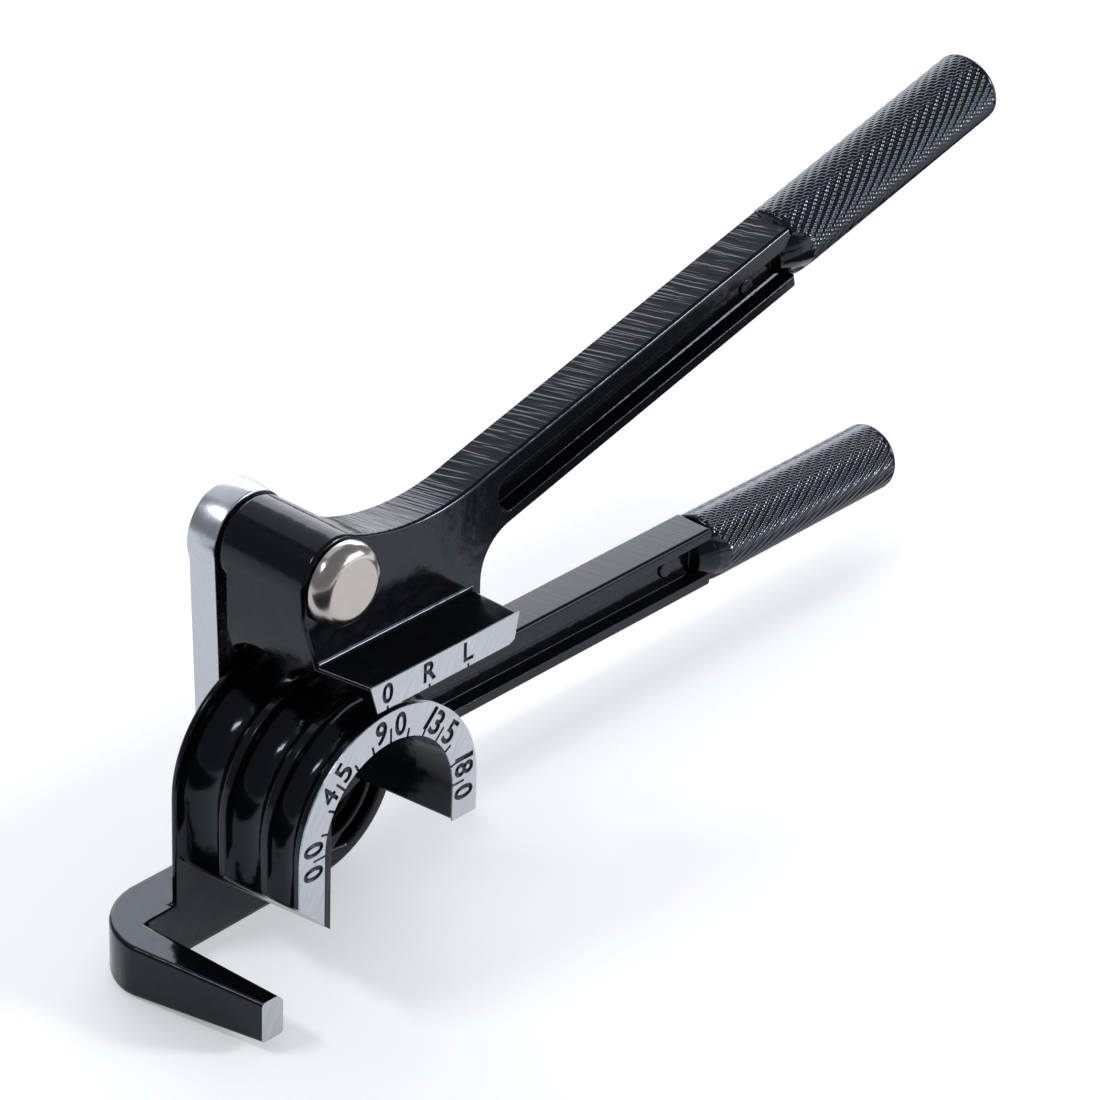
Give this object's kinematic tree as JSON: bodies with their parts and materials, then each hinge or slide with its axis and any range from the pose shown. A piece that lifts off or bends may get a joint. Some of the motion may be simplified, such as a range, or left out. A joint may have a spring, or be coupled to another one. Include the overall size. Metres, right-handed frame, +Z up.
{
  "type": "hand tube bender",
  "caption": "Hand tube bender with a grooved forming die, hook and dial on one handle, a grooved shoe on a swinging lever, and a plated link between their pivots.",
  "frame": {"origin": "on the bend axis, in the plane of the die's dial face", "axes": "+X along the lower handle towards its grip, +Y along the bend axis from the dial face to the back, +Z up, from the die to the shoe at rest"},
  "size_m": [0.2127, 0.0498, 0.1138],
  "materials": {
    "black_enamel": "glossy black enamel on a die casting, with machined bare faces",
    "bare_aluminium": "bare metal, milled after painting",
    "zinc_plate": "bright zinc plating",
    "rivet_steel": "nickel plating, slightly warm"
  },
  "bodies": {
    "handle": {"forming_handle": "black_enamel", "die_rivet": "rivet_steel", "die_washer": "zinc_plate"},
    "link": {"link": "zinc_plate", "lever_rivet": "rivet_steel", "lever_washer": "zinc_plate"},
    "lever": {"bending_lever": "black_enamel"}
  },
  "joints": [
    {"name": "link_swing", "type": "hinge", "parent": "handle", "child": "link", "pos_m": [0, 0.0342, 0], "axis": [0, 1, 0], "range_deg": [-87.8, 92.2]},
    {"name": "lever_swing", "type": "hinge", "parent": "link", "child": "lever", "pos_m": [-0.00161, 0.0205, 0.04197], "axis": [0, 1, 0], "range_deg": [-110, 3]}
  ]
}
